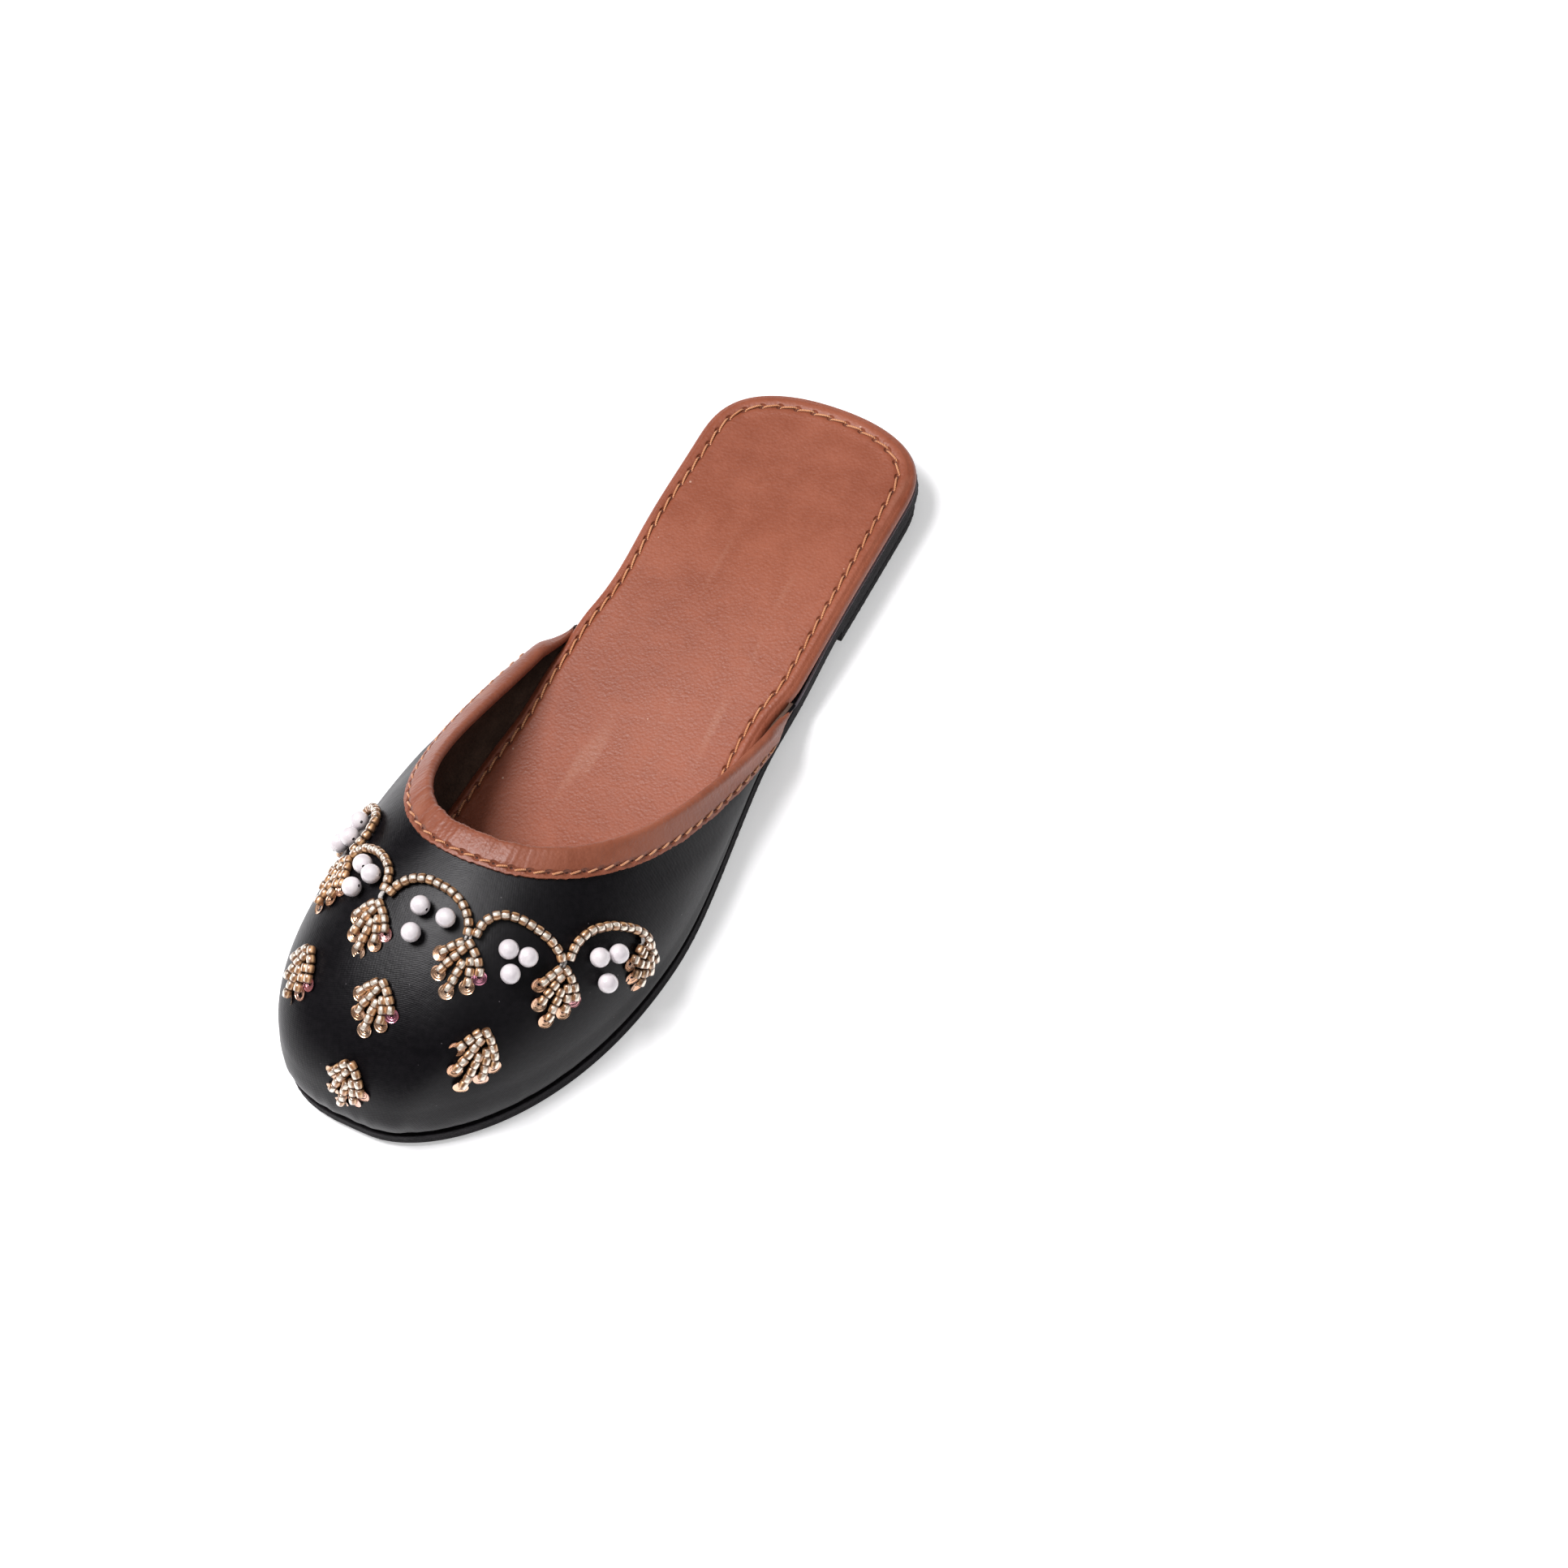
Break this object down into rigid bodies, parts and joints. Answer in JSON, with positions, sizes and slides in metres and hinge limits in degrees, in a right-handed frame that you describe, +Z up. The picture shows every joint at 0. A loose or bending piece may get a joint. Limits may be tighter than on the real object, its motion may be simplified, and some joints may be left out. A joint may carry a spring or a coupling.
{
  "type": "mojari shoe",
  "caption": "Backless left mojari slipper with a low heel, a closed satin vamp edged in leather, a padded leather footbed and a bead and pearl garland.",
  "frame": {"origin": "centre of the heel's flat lower face, on the floor", "axes": "+Z up; -Y along the shoe towards the toe; -X towards the inner side of the foot"},
  "size_m": [0.093, 0.25, 0.0547],
  "materials": {
    "outsole": "fine-grained matt black sheet",
    "heel_lift": "fine-grained matt black sheet, cut side",
    "insole": "smooth tan leather, soft sheen, orange stitching",
    "upper": "black satin",
    "binding": "smooth tan leather, soft sheen, orange stitching",
    "lining": "brown-beige suede cloth",
    "pearls": "pearl white, lustrous",
    "beads": "gold silver-lined seed beads",
    "sequins": "rose-gold cup sequins"
  },
  "bodies": {
    "root": {"outsole": "outsole", "heel_lift": "heel_lift", "insole": "insole", "upper": "upper", "collar_binding": "binding", "pearl_outer_end_a": "pearls", "pearl_outer_end_b": "pearls", "pearl_outer_end_c": "pearls", "pearl_outer_a": "pearls", "pearl_outer_b": "pearls", "pearl_outer_c": "pearls", "pearl_middle_a": "pearls", "pearl_middle_b": "pearls", "pearl_middle_c": "pearls", "pearl_inner_a": "pearls", "pearl_inner_b": "pearls", "pearl_inner_c": "pearls", "pearl_inner_end_a": "pearls", "pearl_inner_end_b": "pearls", "pearl_inner_end_c": "pearls", "bead_string_outer_end": "beads", "bead_string_outer": "beads", "bead_string_middle": "beads", "bead_string_inner": "beads", "bead_string_inner_end": "beads"}
  },
  "joints": []
}
